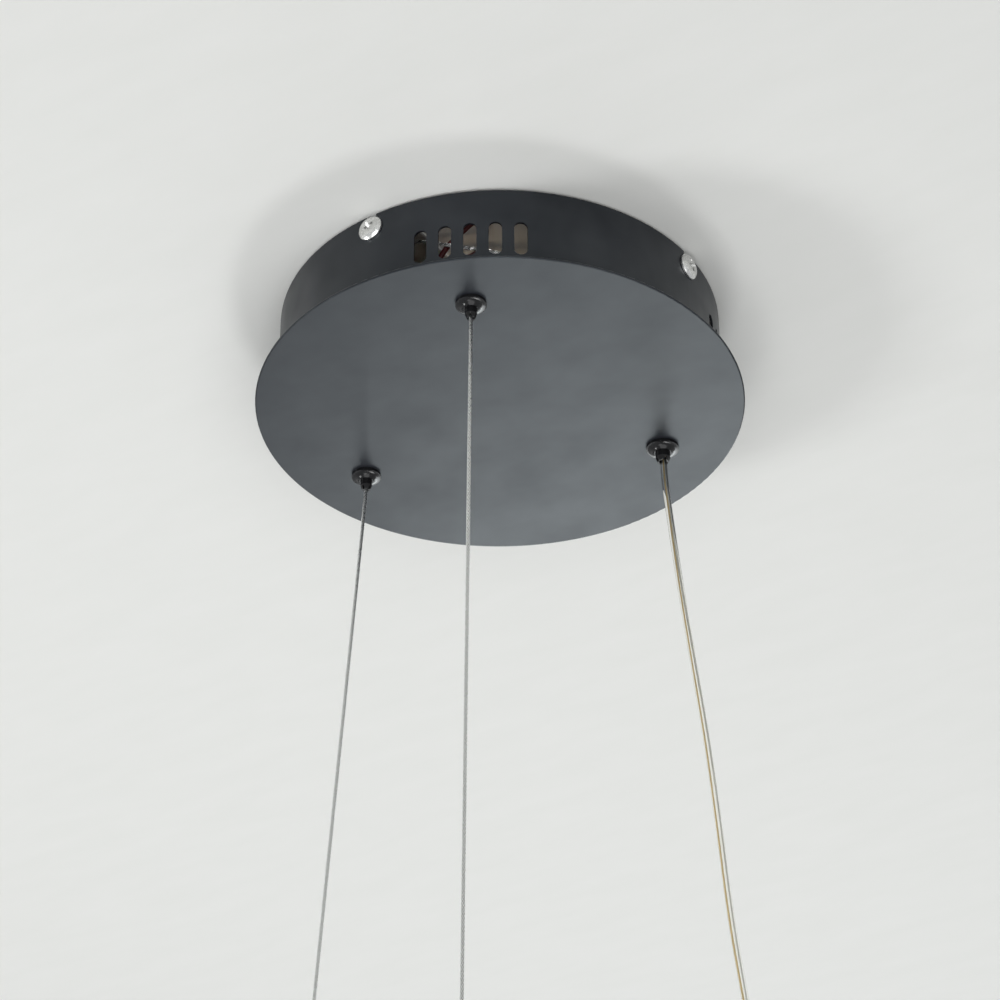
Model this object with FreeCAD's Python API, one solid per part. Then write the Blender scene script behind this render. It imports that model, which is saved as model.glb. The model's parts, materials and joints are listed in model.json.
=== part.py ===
import FreeCAD, Part
import math
import os

# Ceiling canopy and suspension set of a pendant light, in millimetres.
# The origin is the centre of the ceiling bracket's upper face, +Z points up,
# and the bracket's arms lie along X and Y. Angles run from -Y towards +X.

V = FreeCAD.Vector

# Canopy: round can with a wider disc below it
PLATE_D = 200.0
PLATE_T = 1.2
PLATE_EDGE_R = 0.5
CAN_D = 182.0
CAN_WALL = 1.0
CANOPY_H = 42.0
RIM_GAP = 1.0
LIP_W = 8.0
LIP_RELIEF = 0.5
FRONT_ANGLE = 25.0
VENT_W = 5.2
VENT_L = 16.0
VENT_PITCH = 10.0
VENT_TOP = 17.0
VENT_COUNT = 5
VENT_GROUPS = 4
VENT_ANGLE = 1.6

# Ceiling bracket: four-armed strip with bent tabs for the side screws
ARM_COUNT = 4
ARM_W = 20.0
BRACKET_T = 1.5
HUB_D = 46.0
ENTRY_D = 20.0
TAB_W = 16.0
TAB_H = 16.0
TAB_GAP = 0.4
CEILING_SLOT_W = 5.0
CEILING_SLOT_L = 20.0
CEILING_SLOT_SPACING = 84.0

# Side screws
SCREW_D = 4.0
SCREW_L = 9.0
SCREW_DROP = 7.8
SCREW_HEAD_D = 10.8
SCREW_HEAD_H = 2.3
SCREW_HEAD_EDGE = 0.7
SCREW_SEAT = 0.1
NOTCH_CLEAR = 0.3
RECESS_SPAN = 5.2
RECESS_W = 1.2
RECESS_DEPTH = 1.6
RECESS_POINT = 0.35
SCREW_TURN = 20.0
HEAD_BULGE = 0.12

# Studs welded on the disc, with their nuts
STUD_D = 3.0
STUD_L = 6.0
STUD_COUNT = 4
STUD_ANGLE = 45.0
STUD_NUT_AF = 5.5
STUD_NUT_H = 2.4
STUD_CLEAR = 0.2
STUD_NUT_GAP = 0.5

# Suspension lines
ROPE_D = 1.5
CORD_D = 2.8
GLAND_R = 72.3
FRONT_LEAN = -0.0094
LEFT_LEAN = -0.066
FITTING_Z = -348.0
BEND_DROP = 0.8
BEND_R = 30.0

# Grippers: flanged body, release plunger, balls, spring and cap
LINE_CLEAR = 0.2
NOZZLE_WALL = 1.45
NOZZLE_L = 4.4
NOZZLE_TAPER_H = 1.9
TIP_WALL = 0.7
TIP_SLOT_W = 0.8
TIP_SLOT_H = 1.3
SLIDE_FIT = 0.08
COLLAR_STEP = 0.3
COLLAR_T = 0.6
SEAT_GAP = 0.15
SEAT_RISE = 4.0
CONE_TAPER = 0.15
CONE_H = 5.0
CHAMBER_H = 7.5
CAP_T = 2.0
THREAD_FIT = 0.05
BALL_FIT = 0.03
BALL_COUNT = 3
SPRING_WIRE = 0.44
SPRING_TURNS = 4
COIL_SAMPLES = 40
SHANK_WALL = 1.2
HOLE_CLEAR = 0.2
FLANGE_REST = 1.15
FLANGE_H = 3.0
FLANGE_RIM_H = 1.2
FLANGE_BULGE = 0.14
MOUTH_LAND = 0.5
GLAND_NUT_WALL = 2.2
GLAND_NUT_H = 4.0
GLAND_WASHER_T = 0.8

# Lower end of each rope: crimped ferrule inside a threaded socket
SOCKET_STUD_D = 6.0
SOCKET_STUD_L = 8.0
SOCKET_STUD_WALL = 1.1
SOCKET_SHOULDER = 1.0
SOCKET_L = 14.0
SOCKET_TOP_T = 3.0
SOCKET_GROOVE = 0.35
SOCKET_BANDS = 7
FERRULE_L = 7.0
FERRULE_GAP = 0.2
CRIMP_FIT = 0.01
TAIL_RISE = 11.0
TAIL_SLEEVE_L = 7.0
TAIL_SLEEVE_WALL = 0.6
TAIL_SLEEVE_PAST = 0.5

# Lower end of the power cord: barrel plug with a tapered strain relief
PLUG_Z = -334.0
RELIEF_L = 14.0
RELIEF_WALL = 0.9
RELIEF_RINGS = 5
RELIEF_STEP = 0.4
RELIEF_BLEND = 1.5
GRIP_R = 4.75
GRIP_L = 16.0
GRIP_EDGE = 1.0
BARREL_D = 5.5
BARREL_L = 9.5
BARREL_BORE_D = 2.1
BARREL_SEAT = 4.0
BARREL_STEP = 0.6
PLUG_TIP_L = 1.0
CORD_IN_PLUG = 10.0

# Driver: two-part case with its board, on ears held by two of the studs
DRIVER_L = 100.0
DRIVER_W = 38.0
DRIVER_H = 22.0
DRIVER_BASE_H = 16.0
DRIVER_WALL = 1.6
DRIVER_Y = -4.0
EAR_L = 10.0
EAR_W = 16.0
EAR_T = 2.0
BOARD_T = 1.6
BOARD_RISE = 4.0
BOARD_GAP = 0.5
BOSS_R = 2.5
TRANSFORMER_L = 20.0
TRANSFORMER_W = 17.0
TRANSFORMER_H = 12.0
TRANSFORMER_EDGE_R = 1.5
CAPACITOR_D = 8.0
CAPACITOR_H = 11.0
CAPACITOR_EDGE_R = 0.8
CAPACITOR_X = 26.0

# Wiring
WIRE_D = 2.2
LEAD_D = 1.6
WIRE_CLEAR = 0.2
WIRE_RUN = 7.5
LEAD_RUN = 14.5
WIRE_SEAT = 3.0
MAINS_ENTRY_H = 9.5
MAINS_SPREAD = 8.0
OUTPUT_ENTRY_H = 10.0
JOINT_BLOCK_L = 20.0
JOINT_BLOCK_W = 18.0
JOINT_BLOCK_H = 8.0
JOINT_BLOCK_INSET = 8.0
JOINT_BLOCK_EDGE_R = 1.2

# Mains terminal block under the bracket's front arm
BLOCK_WAYS = 3
BLOCK_PITCH = 10.0
BLOCK_W = 17.0
BLOCK_H = 13.0
BLOCK_R = 40.0
BLOCK_EDGE_R = 1.0
BLOCK_NOTCH_W = 2.0
BLOCK_NOTCH_H = 3.0
CLAMP_R = 2.4
CLAMP_BORE_D = 1.8
CLAMP_L = 12.0
CLAMP_FIT = 0.1
CLAMP_SCREW_D = 3.0
CLAMP_SCREW_X = 3.6
CLAMP_SCREW_SINK = 1.0
CLAMP_SCREW_SLOT = 0.6
FIXING_D = 3.0
FIXING_HEAD_D = 5.6
FIXING_HEAD_H = 2.0
FIXING_SLOT = 0.8
SLOT_DEPTH = 1.0

# Earth connection on the same arm
EARTH_R = 76.0
EARTH_OFFSET = -5.0
EARTH_SCREW_D = 4.0
EARTH_HEAD_D = 7.6
EARTH_HEAD_H = 2.4
LUG_R = 4.0
LUG_T = 0.8
LUG_BARREL_R = 1.6
LUG_BARREL_L = 6.0
LUG_LAP = 1.0

# Values worked out from the ones above
CAN_R = CAN_D / 2
CAN_IN_R = CAN_R - CAN_WALL
PLATE_Z = -CANOPY_H
PLATE_TOP = PLATE_Z + PLATE_T
LIP_TOP = PLATE_TOP + CAN_WALL
TAB_FACE = math.sqrt((CAN_IN_R - TAB_GAP) ** 2 - (TAB_W / 2) ** 2)
STUD_CIRCLE_R = CAN_IN_R - STUD_NUT_GAP - STUD_NUT_AF / 2
FRONT, LEFT, CORD = 0.0, -120.0, 120.0
EAR_HOLE_X = DRIVER_L / 2 + EAR_L / 2
DRIVER_TOP = PLATE_TOP + DRIVER_H
BLOCK_L = BLOCK_WAYS * BLOCK_PITCH
BLOCK_MID_Z = -BRACKET_T - BLOCK_H / 2


def polar(radius, angle, z=0.0):
    a = math.radians(angle)
    return V(radius * math.sin(a), -radius * math.cos(a), z)


def front(x, y, z):
    """Point given in the canopy's own axes, with the front gland on -Y."""
    a = math.radians(FRONT_ANGLE)
    return V(x * math.cos(a) - y * math.sin(a), x * math.sin(a) + y * math.cos(a), z)


def turned(shape):
    """Shape built in the canopy's own axes, turned to its place."""
    shape.rotate(V(0, 0, 0), V(0, 0, 1), FRONT_ANGLE)
    return shape


def around(shape, angle):
    copy = shape.copy()
    copy.rotate(V(0, 0, 0), V(0, 0, 1), angle)
    return copy


def at(shape, place):
    shape.translate(place)
    return shape


def disc(radius, low, high, centre=V(0, 0, 0)):
    return Part.makeCylinder(radius, high - low, V(centre.x, centre.y, low))


def ring(outer, inner, low, high, centre=V(0, 0, 0)):
    return disc(outer, low, high, centre).cut(disc(inner, low, high, centre))


def box(x0, x1, y0, y1, z0, z1):
    return Part.makeBox(x1 - x0, y1 - y0, z1 - z0, V(x0, y0, z0))


def hex_corner_r(across_flats):
    return across_flats / 2 / math.cos(math.radians(30))


def hexagon(across_flats, low, high, centre, angle=0.0):
    corner_r = hex_corner_r(across_flats)
    corners = [polar(corner_r, angle + 30 + 60 * k, low) + V(centre.x, centre.y, 0) for k in range(7)]
    corners[6] = corners[0]
    return Part.Face(Part.makePolygon(corners)).extrude(V(0, 0, high - low))


def revolved(profile):
    """Solid of revolution about Z from (radius, z) points.

    A point with a third and fourth value is the middle of an arc that ends at those values.
    """
    edges = []
    here = V(profile[0][0], 0, profile[0][1])
    for step in profile[1:] + profile[:1]:
        there = V(step[-2], 0, step[-1])
        if len(step) == 4:
            edges.append(Part.Arc(here, V(step[0], 0, step[1]), there).toShape())
        else:
            edges.append(Part.makeLine(here, there))
        here = there
    return Part.Face(Part.Wire(edges)).revolve(V(0, 0, 0), V(0, 0, 1), 360)


def dome_arc(r0, z0, r1, z1, bulge):
    """Arc step for revolved(), bowed outwards from the chord by a share of its length."""
    dr, dz = r1 - r0, z1 - z0
    return ((r0 + r1) / 2 - dz * bulge, (z0 + z1) / 2 + dr * bulge, r1, z1)


def route(points, bend_r=None):
    """Wire of straight runs joined by tangent arcs, with its length and its radii."""
    edges = []
    radii = []
    here = points[0]
    for before, corner, after in zip(points, points[1:], points[2:]):
        d1 = (corner - before).normalize()
        d2 = (after - corner).normalize()
        half = d1.getAngle(d2) / 2
        shorter = min((corner - before).Length, (after - corner).Length)
        radius = bend_r or 0.45 * shorter / math.tan(half)
        reach = radius * math.tan(half)
        start = corner - d1 * reach
        end = corner + d2 * reach
        middle = corner + (d2 - d1).normalize() * (radius / math.cos(half) - radius)
        edges.append(Part.makeLine(here, start))
        edges.append(Part.Arc(start, middle, end).toShape())
        radii.append(radius)
        here = end
    edges.append(Part.makeLine(here, points[-1]))
    return Part.Wire(edges), radii


def tube(name, points, diameter, bend_r=None):
    wire, radii = route(points, bend_r)
    circle = Part.Circle(points[0], points[1] - points[0], diameter / 2).toShape()
    solid = wire.makePipeShell([Part.Wire(circle)], True, False)
    share = solid.Volume / (math.pi * diameter ** 2 / 4 * wire.Length)
    listed = " ".join("%.0f" % r for r in radii)
    print("%s: length %.1f, volume share %.4f, radii %s" % (name, wire.Length, share, listed))
    save(name, solid)


def arc_between(start, tangent, end):
    """Arc that leaves start along tangent and ends at end."""
    chord = end - start
    side = tangent - chord * (tangent.dot(chord) / chord.dot(chord))
    if side.Length < 1e-9:
        return Part.makeLine(start, end)
    angle = tangent.getAngle(chord)
    middle = (start + end) * 0.5 + side.normalize() * (chord.Length / 2 * math.tan(angle / 2))
    return Part.Arc(start, middle, end).toShape()


def helix(mean_r, low, high, turns, centre):
    """Helical wire of tangent arc pairs, one pair to a quarter turn."""
    pitch = (high - low) / turns

    def place(t):
        return polar(mean_r, 360 * t, low + pitch * t) + V(centre.x, centre.y, 0)

    def heading(t):
        along = polar(1.0, 360 * t + 90)
        return (along + V(0, 0, pitch / (2 * math.pi * mean_r))).normalize()

    edges = []
    for k in range(4 * turns):
        p0, p1 = place(k / 4), place((k + 1) / 4)
        t0, t1 = heading(k / 4), heading((k + 1) / 4)
        v, t = p1 - p0, t0 + t1
        a = 2 * (t0.dot(t1) - 1)
        b = -2 * v.dot(t)
        reach = (-b - math.sqrt(b * b - 4 * a * v.dot(v))) / (2 * a)
        if reach < 0:
            reach = (-b + math.sqrt(b * b - 4 * a * v.dot(v))) / (2 * a)
        joint = (p0 + p1 + (t0 - t1) * reach) * 0.5
        turn = (joint - (p0 + t0 * reach)).normalize()
        edges.append(arc_between(p0, t0, joint))
        edges.append(arc_between(joint, turn, p1))
    return Part.Wire(edges), heading(0.0)


def coil(mean_r, wire_d, low, high, turns, centre):
    wire, heading = helix(mean_r, low + wire_d / 2, high - wire_d / 2, turns, centre)
    start = wire.OrderedVertexes[0].Point
    circle = Part.Circle(start, heading, wire_d / 2).toShape()
    spots = wire.discretize(Number=COIL_SAMPLES * turns + 1)
    apart = [(a - b).Length for i, a in enumerate(spots) for b in spots[i + COIL_SAMPLES // 2:]]
    print("spring: least gap between its turns %.2f" % (min(apart) - wire_d))
    return wire.makePipeShell([Part.Wire(circle)], True, False)


def cross_recess(depth, span, width, top):
    """Phillips recess below top: two crossed wedges that taper to a point."""
    arms = []
    for turn in (0, 90):
        wires = []
        for scale, z in ((1.0, top), (RECESS_POINT, top - depth)):
            half = span / 2 * scale
            low, high = -width / 2, width / 2
            wires.append(Part.makePolygon([V(-half, low, z), V(half, low, z), V(half, high, z),
                                           V(-half, high, z), V(-half, low, z)]))
        wedge = Part.makeLoft(wires, True, True)
        wedge.rotate(V(0, 0, 0), V(0, 0, 1), turn)
        arms.append(wedge)
    return arms[0].fuse(arms[1])


def pan_screw(shank_d, shank_l, head_d, head_h, head_edge):
    """Screw along Z with its head's flat underside at z = 0 and its shank below it."""
    head = revolved([(0, 0), (head_d / 2, 0), (head_d / 2, head_edge),
                     dome_arc(head_d / 2, head_edge, head_d / 4, head_h, -HEAD_BULGE), (0, head_h)])
    return head.fuse(disc(shank_d / 2, -shank_l, 0))


def screwdriver_slot(head_d, width):
    return box(-head_d, head_d, -width / 2, width / 2, 0, SLOT_DEPTH)


def save(name, shape):
    shape.exportStep("parts/%s.step" % name)


def make_plate():
    plate = disc(PLATE_D / 2, PLATE_Z, PLATE_TOP)
    rim = [e for e in plate.Edges if e.Curve.TypeId == "Part::GeomCircle"]
    plate = plate.makeFillet(min(PLATE_EDGE_R, 0.45 * PLATE_T), rim)
    for grip in GRIPS.values():
        plate = plate.cut(disc(grip["hole_r"], PLATE_Z, PLATE_TOP, grip["centre"]))
    save("canopy_plate", plate)


def vent_cutter():
    outside, inside = -CAN_R - CAN_WALL, -CAN_IN_R + CAN_WALL
    reach = inside - outside
    half = VENT_W / 2
    top = -VENT_TOP - half
    bottom = -VENT_TOP - VENT_L + half
    cutter = box(-half, half, outside, inside, bottom, top)
    for z in (top, bottom):
        cutter = cutter.fuse(Part.makeCylinder(half, reach, V(0, outside, z), V(0, 1, 0)))
    return cutter


def notch_cutter():
    half = SCREW_D / 2 + NOTCH_CLEAR
    outside, inside = -CAN_R - CAN_WALL, -CAN_IN_R + CAN_WALL
    slot = box(-half, half, outside, inside, -SCREW_DROP, 0)
    return slot.fuse(Part.makeCylinder(half, inside - outside, V(0, outside, -SCREW_DROP), V(0, 1, 0)))


def make_shell():
    shell = disc(CAN_R, PLATE_TOP, -RIM_GAP)
    shell = shell.cut(disc(CAN_IN_R, LIP_TOP, -RIM_GAP))
    shell = shell.cut(disc(CAN_R - LIP_W, PLATE_TOP, LIP_TOP))
    cutters = []
    vent = vent_cutter()
    step = math.degrees(VENT_PITCH / CAN_R)
    for group in range(VENT_GROUPS):
        middle = FRONT_ANGLE + VENT_ANGLE + group * 360 / VENT_GROUPS
        for k in range(VENT_COUNT):
            cutters.append(around(vent, middle + (k - (VENT_COUNT - 1) / 2) * step))
    notch = notch_cutter()
    cutters += [around(notch, k * 360 / ARM_COUNT) for k in range(ARM_COUNT)]
    for k in range(STUD_COUNT):
        place = polar(STUD_CIRCLE_R, STUD_ANGLE + k * 360 / STUD_COUNT)
        cutters.append(disc(STUD_D / 2 + STUD_CLEAR, PLATE_TOP, LIP_TOP, place))
    for g in GRIPS.values():
        relief_r = hex_corner_r(gland_nut_width(g)) + LIP_RELIEF
        cutters.append(disc(relief_r, PLATE_TOP, LIP_TOP, g["centre"]))
    save("canopy_shell", shell.cut(cutters))


def make_plate_studs():
    """Weld studs that hold the can's lip and the driver's ears, with one nut each."""
    angles = [STUD_ANGLE + k * 360 / STUD_COUNT for k in range(STUD_COUNT)]
    seats = [(polar(STUD_CIRCLE_R, angle), LIP_TOP, angle) for angle in angles]
    for side in (-1, 1):
        seats.append((front(side * EAR_HOLE_X, DRIVER_Y, 0), PLATE_TOP + EAR_T, FRONT_ANGLE))
    studs = []
    nuts = []
    for place, seat, angle in seats:
        studs.append(disc(STUD_D / 2, PLATE_TOP, seat + STUD_L - CAN_WALL, place))
        nut = hexagon(STUD_NUT_AF, seat, seat + STUD_NUT_H, place, angle)
        nuts.append(nut.cut(disc(STUD_D / 2 + THREAD_FIT, seat, seat + STUD_NUT_H, place)))
    save("plate_studs", Part.makeCompound(studs))
    save("plate_nuts", Part.makeCompound(nuts))


def make_bracket():
    half = ARM_W / 2
    plate = disc(HUB_D / 2, -BRACKET_T, 0)
    for k in range(ARM_COUNT):
        arm = box(-half, half, -TAB_FACE, 0, -BRACKET_T, 0)
        tab = box(-TAB_W / 2, TAB_W / 2, -TAB_FACE, -TAB_FACE + BRACKET_T, -TAB_H, -BRACKET_T)
        outer = [e for e in arm.Edges if (e.CenterOfMass - V(0, -TAB_FACE, 0)).Length < 1e-6]
        wing = box(-half, -TAB_W / 2, -TAB_FACE, -TAB_FACE + half, -BRACKET_T, 0)
        other = box(TAB_W / 2, half, -TAB_FACE, -TAB_FACE + half, -BRACKET_T, 0)
        arm = arm.makeFillet(BRACKET_T * 0.9, outer).cut([wing, other])
        place = V(0, -TAB_FACE, -SCREW_DROP)
        hole = Part.makeCylinder(SCREW_D / 2 + THREAD_FIT, BRACKET_T, place, V(0, 1, 0))
        plate = plate.fuse(around(arm.fuse(tab.cut(hole)), k * 360 / ARM_COUNT))
    plate = plate.cut(disc(ENTRY_D / 2, -BRACKET_T, 0))
    slot_half = CEILING_SLOT_W / 2
    for side in (-1, 1):
        middle = side * CEILING_SLOT_SPACING / 2
        reach = CEILING_SLOT_L / 2 - slot_half
        slot = box(middle - reach, middle + reach, -slot_half, slot_half, -BRACKET_T, 0)
        for end in (-reach, reach):
            slot = slot.fuse(disc(slot_half, -BRACKET_T, 0, V(middle + end, 0, 0)))
        plate = plate.cut(slot)
    plate = plate.cut(disc(FIXING_D / 2 + THREAD_FIT, -BRACKET_T, 0, fixing_place()))
    plate = plate.cut(disc(EARTH_SCREW_D / 2 + THREAD_FIT, -BRACKET_T, 0, earth_place()))
    save("ceiling_bracket", plate.removeSplitter())


def make_canopy_screws():
    screws = []
    screw = pan_screw(SCREW_D, SCREW_L, SCREW_HEAD_D, SCREW_HEAD_H, SCREW_HEAD_EDGE)
    screw = screw.cut(cross_recess(RECESS_DEPTH, RECESS_SPAN, RECESS_W, SCREW_HEAD_H))
    screw.rotate(V(0, 0, 0), V(0, 0, 1), SCREW_TURN)
    screw.rotate(V(0, 0, 0), V(1, 0, 0), 90)
    screw.translate(V(0, -CAN_R - SCREW_SEAT, -SCREW_DROP))
    for k in range(ARM_COUNT):
        screws.append(around(screw, k * 360 / ARM_COUNT))
    save("canopy_screws", Part.makeCompound(screws))


def fixing_place():
    return V(-BLOCK_PITCH / 2, -BLOCK_R, 0)


def earth_place():
    return V(EARTH_OFFSET, -EARTH_R, 0)


def way_x(k):
    return (k - (BLOCK_WAYS - 1) / 2) * BLOCK_PITCH


def make_terminal_block():
    low, high = -BRACKET_T - BLOCK_H, -BRACKET_T
    inner, outer = -BLOCK_R + BLOCK_W / 2, -BLOCK_R - BLOCK_W / 2
    block = box(-BLOCK_L / 2, BLOCK_L / 2, outer, inner, low, high)
    corners = [e for e in block.Edges if abs(e.CenterOfMass.z - BLOCK_MID_Z) < 1e-6]
    block = block.makeFillet(BLOCK_EDGE_R, corners)
    cutters = []
    for k in range(1, BLOCK_WAYS):
        x = way_x(k) - BLOCK_PITCH / 2
        for y0, y1 in ((outer, outer + BLOCK_NOTCH_H), (inner - BLOCK_NOTCH_H, inner)):
            cutters.append(box(x - BLOCK_NOTCH_W / 2, x + BLOCK_NOTCH_W / 2, y0, y1, low, high))
    clamps = []
    screws = []
    for k in range(BLOCK_WAYS):
        x = way_x(k)
        cutters.append(Part.makeCylinder(CLAMP_R + CLAMP_FIT, BLOCK_W, V(x, outer, BLOCK_MID_Z), V(0, 1, 0)))
        start = V(x, -BLOCK_R - CLAMP_L / 2, BLOCK_MID_Z)
        clamp = Part.makeCylinder(CLAMP_R, CLAMP_L, start, V(0, 1, 0))
        clamp = clamp.cut(Part.makeCylinder(CLAMP_BORE_D / 2, CLAMP_L, start, V(0, 1, 0)))
        for side in (-1, 1):
            place = V(x, -BLOCK_R + side * CLAMP_SCREW_X, 0)
            cutters.append(disc(CLAMP_SCREW_D / 2 + CLAMP_FIT, low, BLOCK_MID_Z, place))
            tip = BLOCK_MID_Z - CLAMP_BORE_D / 2
            clamp = clamp.cut(disc(CLAMP_SCREW_D / 2 + CLAMP_FIT, BLOCK_MID_Z - CLAMP_R, BLOCK_MID_Z, place))
            head = low + CLAMP_SCREW_SINK
            screw = disc(CLAMP_SCREW_D / 2, head, tip, place)
            slot = screwdriver_slot(CLAMP_SCREW_D, CLAMP_SCREW_SLOT)
            screws.append(screw.cut(at(slot, place + V(0, 0, head))))
        clamps.append(clamp)
    place = fixing_place()
    cutters.append(disc(FIXING_D / 2 + CLAMP_FIT, low, high, place))
    cutters.append(disc(FIXING_HEAD_D / 2 + CLAMP_FIT, low, low + FIXING_HEAD_H + CLAMP_FIT, place))
    save("terminal_block", block.cut(cutters))
    save("terminal_clamps", Part.makeCompound(clamps))
    save("terminal_clamp_screws", Part.makeCompound(screws))
    fixing = disc(FIXING_HEAD_D / 2, low + CLAMP_FIT, low + FIXING_HEAD_H + CLAMP_FIT, place)
    fixing = fixing.fuse(disc(FIXING_D / 2, low + FIXING_HEAD_H, 0, place))
    slot = screwdriver_slot(FIXING_HEAD_D, FIXING_SLOT)
    save("terminal_fixing_screw", fixing.cut(at(slot, place + V(0, 0, low + CLAMP_FIT))))


def make_earth():
    place = earth_place()
    lug_low = -BRACKET_T - LUG_T
    lug = disc(LUG_R, lug_low, -BRACKET_T, place)
    barrel_z = -BRACKET_T - LUG_BARREL_R
    barrel_start = V(place.x, place.y + LUG_R - LUG_LAP, barrel_z)
    barrel = Part.makeCylinder(LUG_BARREL_R, LUG_BARREL_L, barrel_start, V(0, 1, 0))
    room = disc(EARTH_HEAD_D / 2 + CLAMP_FIT, lug_low - EARTH_HEAD_H, lug_low, place)
    lug = lug.fuse(barrel.cut(room)).cut(disc(EARTH_SCREW_D / 2 + CLAMP_FIT, lug_low, -BRACKET_T, place))
    save("earth_lug", lug)
    screw = pan_screw(EARTH_SCREW_D, LUG_T + BRACKET_T, EARTH_HEAD_D, EARTH_HEAD_H, SCREW_HEAD_EDGE)
    screw = screw.cut(cross_recess(RECESS_DEPTH, EARTH_HEAD_D / 2, RECESS_W, EARTH_HEAD_H))
    screw.rotate(V(0, 0, 0), V(1, 0, 0), 180)
    save("earth_screw", at(screw, place + V(0, 0, lug_low)))
    start = V(way_x(0), -BLOCK_R - CLAMP_L / 2, BLOCK_MID_Z)
    end = barrel_start + V(0, LUG_BARREL_L, 0)
    tube("earth_wire", [start, start + V(0, -WIRE_RUN, 0), end + V(0, WIRE_RUN * 0.9, 0), end], WIRE_D)


def make_driver():
    base_z = PLATE_TOP
    split = base_z + DRIVER_BASE_H
    half_l, half_w = DRIVER_L / 2, DRIVER_W / 2
    in_l, in_w = half_l - DRIVER_WALL, half_w - DRIVER_WALL
    outer = box(-half_l, half_l, -half_w, half_w, base_z, DRIVER_TOP)
    sides = [e for e in outer.Edges if abs(e.BoundBox.ZLength - DRIVER_H) < 1e-6]
    outer = outer.makeFillet(DRIVER_WALL, sides)
    room = box(-in_l, in_l, -in_w, in_w, base_z + DRIVER_WALL, DRIVER_TOP - DRIVER_WALL)
    shell = outer.cut(room)
    base = shell.common(box(-half_l, half_l, -half_w, half_w, base_z, split))
    cover = shell.common(box(-half_l, half_l, -half_w, half_w, split, DRIVER_TOP))
    floor = base_z + DRIVER_WALL
    board_l, board_w = in_l - BOARD_GAP, in_w - BOARD_GAP
    for sx in (-1, 1):
        for sy in (-1, 1):
            boss = V(sx * (board_l - 2 * BOSS_R), sy * (board_w - 2 * BOSS_R), 0)
            base = base.fuse(disc(BOSS_R, floor - DRIVER_WALL / 2, floor + BOARD_RISE, boss))
        ear = box(half_l - DRIVER_WALL, half_l + EAR_L, -EAR_W / 2, EAR_W / 2, base_z, base_z + EAR_T)
        upright = [e for e in ear.Edges if abs(e.BoundBox.ZLength - EAR_T) < 1e-6]
        outside = [e for e in upright if e.CenterOfMass.x > half_l]
        ear = ear.makeFillet(EAR_W / 4, outside)
        ear = ear.cut(disc(STUD_D / 2 + STUD_CLEAR, base_z, base_z + EAR_T, V(EAR_HOLE_X, 0, 0)))
        base = base.fuse(around(ear, 0 if sx > 0 else 180))
    holes = [(half_l, y, h, WIRE_D) for y, h in mains_entries()]
    holes += [(-half_l, y, h, LEAD_D) for y, h in output_entries()]
    for x, y, z, d in holes:
        start = V(x - DRIVER_WALL * 1.5, y - DRIVER_Y, z)
        base = base.cut(Part.makeCylinder(d / 2 + WIRE_CLEAR, DRIVER_WALL * 3, start, V(1, 0, 0)))
    shift = V(0, DRIVER_Y, 0)
    save("driver_base", turned(at(base.removeSplitter(), shift)))
    save("driver_cover", turned(at(cover, shift)))
    board_z = floor + BOARD_RISE
    board = box(-board_l, board_l, -board_w, board_w, board_z, board_z + BOARD_T)
    save("driver_board", turned(at(board, shift)))
    top = board_z + BOARD_T
    core_x, core_y = TRANSFORMER_L / 2, TRANSFORMER_W / 2
    core = box(-core_x, core_x, -core_y, core_y, top, top + TRANSFORMER_H)
    upright = [e for e in core.Edges if abs(e.BoundBox.ZLength - TRANSFORMER_H) < 1e-6]
    core = core.makeFillet(TRANSFORMER_EDGE_R, upright)
    save("driver_transformer", turned(at(core, shift)))
    cans = [disc(CAPACITOR_D / 2, top, top + CAPACITOR_H, V(side * CAPACITOR_X, 0, 0)) for side in (-1, 1)]
    cans = [can.makeFillet(CAPACITOR_EDGE_R, [can.Edges[0], can.Edges[2]]) for can in cans]
    save("driver_capacitors", turned(at(Part.makeCompound(cans), shift)))


def mains_entries():
    z = PLATE_TOP + MAINS_ENTRY_H
    return [(DRIVER_Y - MAINS_SPREAD / 2, z), (DRIVER_Y + MAINS_SPREAD / 2, z + 2 * WIRE_D)]


def output_entries():
    z = PLATE_TOP + OUTPUT_ENTRY_H
    return [(DRIVER_Y - MAINS_SPREAD / 2, z), (DRIVER_Y + MAINS_SPREAD / 2, z)]


def joint_block_faces():
    """Left and right faces of the joint block, in the canopy's own axes."""
    left = -DRIVER_L / 2 + JOINT_BLOCK_INSET
    return left, left + JOINT_BLOCK_L


def make_joint_block():
    left, right = joint_block_faces()
    top = DRIVER_TOP + JOINT_BLOCK_H
    block = box(left, right, DRIVER_Y - JOINT_BLOCK_W / 2, DRIVER_Y + JOINT_BLOCK_W / 2, DRIVER_TOP, top)
    uppers = [e for e in block.Edges if abs(e.CenterOfMass.z - top) < 1e-6]
    block = block.makeFillet(JOINT_BLOCK_EDGE_R, uppers)
    mid = DRIVER_TOP + JOINT_BLOCK_H / 2
    for y, _ in output_entries():
        block = block.cut(Part.makeCylinder(LEAD_D / 2 + WIRE_CLEAR, WIRE_SEAT, V(left, y, mid), V(1, 0, 0)))
    mouth = V(right - WIRE_SEAT, DRIVER_Y, mid)
    block = block.cut(Part.makeCylinder(CORD_D / 2 + WIRE_CLEAR, WIRE_SEAT, mouth, V(1, 0, 0)))
    save("joint_block", turned(block))


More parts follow.
